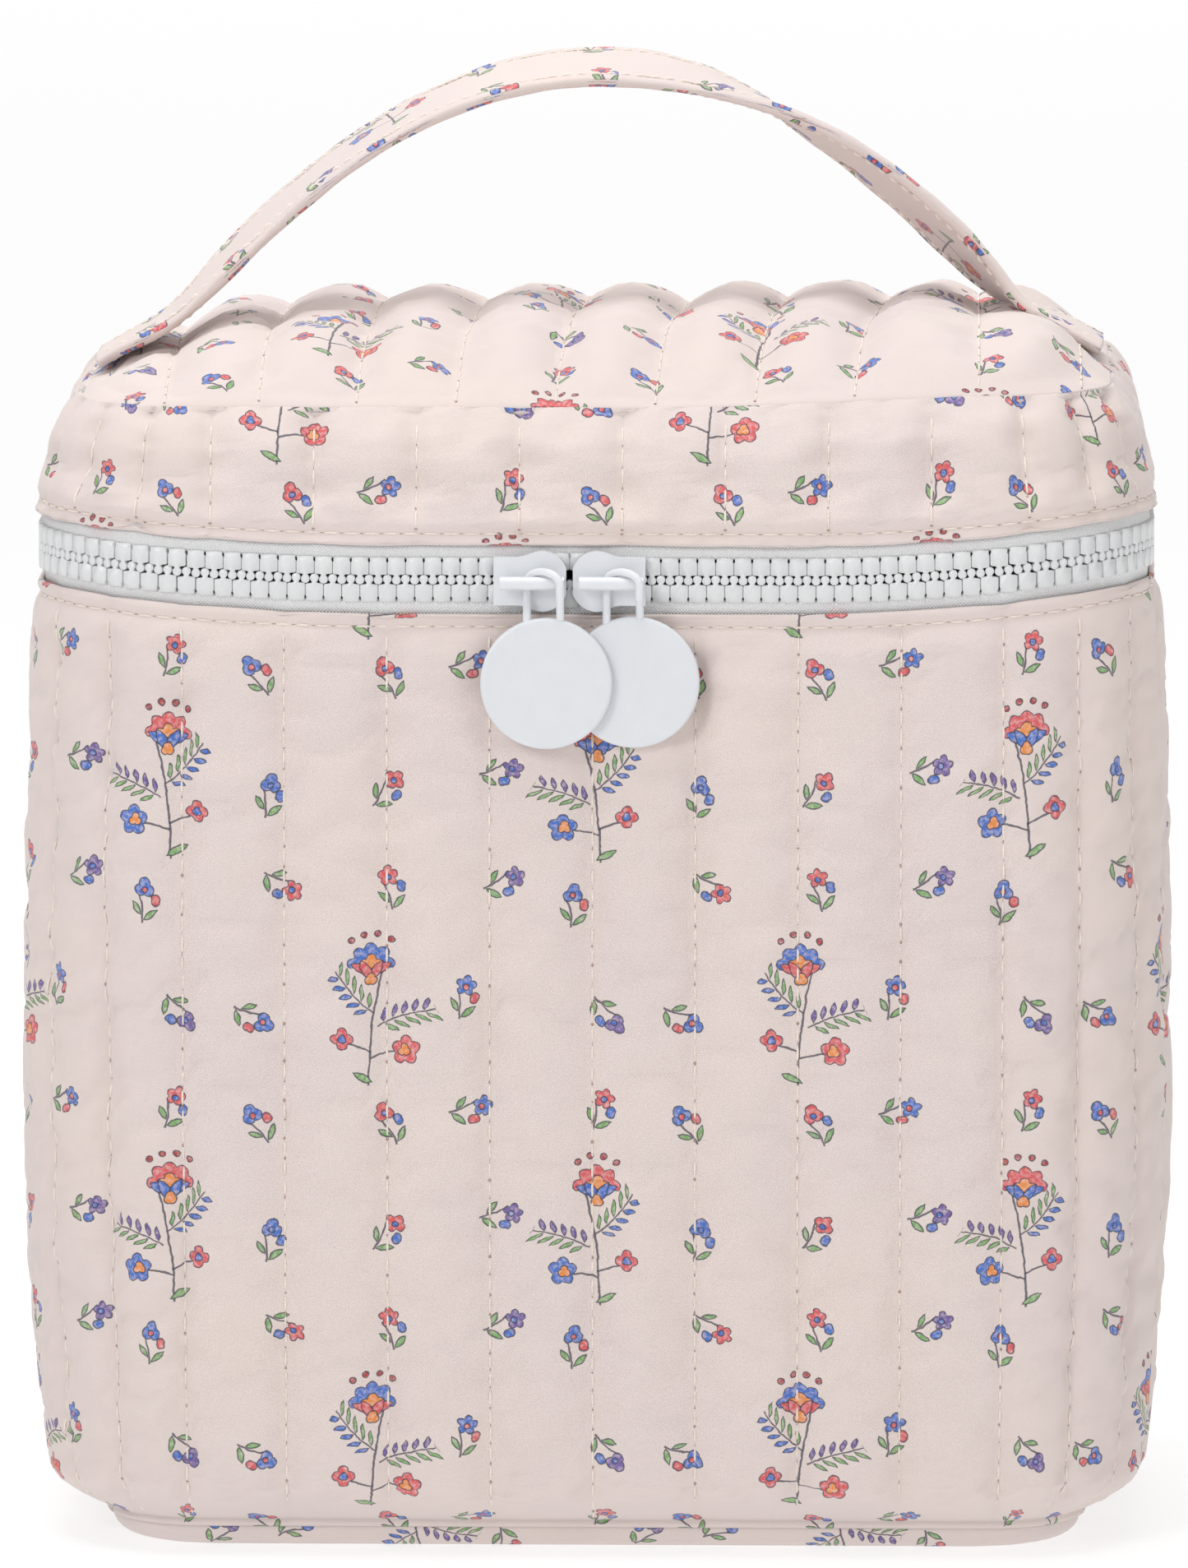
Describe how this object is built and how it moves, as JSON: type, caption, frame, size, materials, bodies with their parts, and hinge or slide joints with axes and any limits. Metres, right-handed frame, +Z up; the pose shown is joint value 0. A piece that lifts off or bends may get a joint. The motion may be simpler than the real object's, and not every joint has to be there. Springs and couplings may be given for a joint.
{
  "type": "knitting bag",
  "caption": "Quilted box bag for knitting, with a zip round the front and sides, a hinged domed lid, round zip pulls and a strap handle.",
  "frame": {"origin": "middle of the base's flat underside", "axes": "+Z up, +X to the right as seen from the front, -Y towards the front, where the zip sliders meet"},
  "size_m": [0.24, 0.1554, 0.309],
  "materials": {
    "quilt": "matte",
    "lining": "matte",
    "board": "matte",
    "zip_tape": "matte",
    "zip_teeth": "satin",
    "zip_slider": "satin",
    "pull": "satin",
    "pull_wire": "satin",
    "strap": "matte"
  },
  "bodies": {
    "body": {"body_wrap": "quilt", "back_panel": "quilt", "base_panel": "quilt", "base_board": "board", "body_lining_wall": "lining", "body_lining_base": "lining", "lower_tape": "zip_tape", "lower_teeth": "zip_teeth", "lower_stops": "zip_teeth", "hinge_strip": "quilt"},
    "lid": {"lid_top_panel": "quilt", "lid_gusset": "quilt", "lid_back_panel": "quilt", "lid_lining_top": "lining", "lid_lining_band": "lining", "upper_tape": "zip_tape", "upper_teeth": "zip_teeth", "upper_stops": "zip_teeth", "handle_end_left": "strap", "handle_end_right": "strap"},
    "handle": {"handle_strap": "strap"},
    "slider_left": {"slider_left": "zip_slider"},
    "slider_right": {"slider_right": "zip_slider"},
    "pull_left": {"pull_loop_left": "pull_wire", "pull_disc_left": "pull"},
    "pull_right": {"pull_loop_right": "pull_wire", "pull_disc_right": "pull"}
  },
  "joints": [
    {"name": "lid_hinge", "type": "hinge", "parent": "body", "child": "lid", "pos_m": [0, 0.073, 0.206], "axis": [-1, 0, 0], "range_deg": [0, 160]},
    {"name": "handle_swing", "type": "hinge", "parent": "lid", "child": "handle", "pos_m": [0, 0, 0.263], "axis": [1, 0, 0], "range_deg": [-45, 45], "stiffness_Nm_per_rad": 0.03},
    {"name": "slider_left_travel", "type": "slide", "parent": "body", "child": "slider_left", "axis": [-1, 0, 0], "range_m": [0, 0.06]},
    {"name": "slider_right_travel", "type": "slide", "parent": "body", "child": "slider_right", "axis": [1, 0, 0], "range_m": [0, 0.06]},
    {"name": "pull_right_swing", "type": "hinge", "parent": "slider_right", "child": "pull_right", "pos_m": [0.0035, -0.0772, 0.206], "axis": [-1, 0, 0], "range_deg": [0, 90]},
    {"name": "pull_left_swing", "type": "hinge", "parent": "slider_left", "child": "pull_left", "pos_m": [-0.0129, -0.0772, 0.206], "axis": [-1, 0, 0], "range_deg": [0, 90]}
  ],
  "couplings": [
    {"joint": "pull_left_swing", "follows": "pull_right_swing", "ratio": 1}
  ]
}
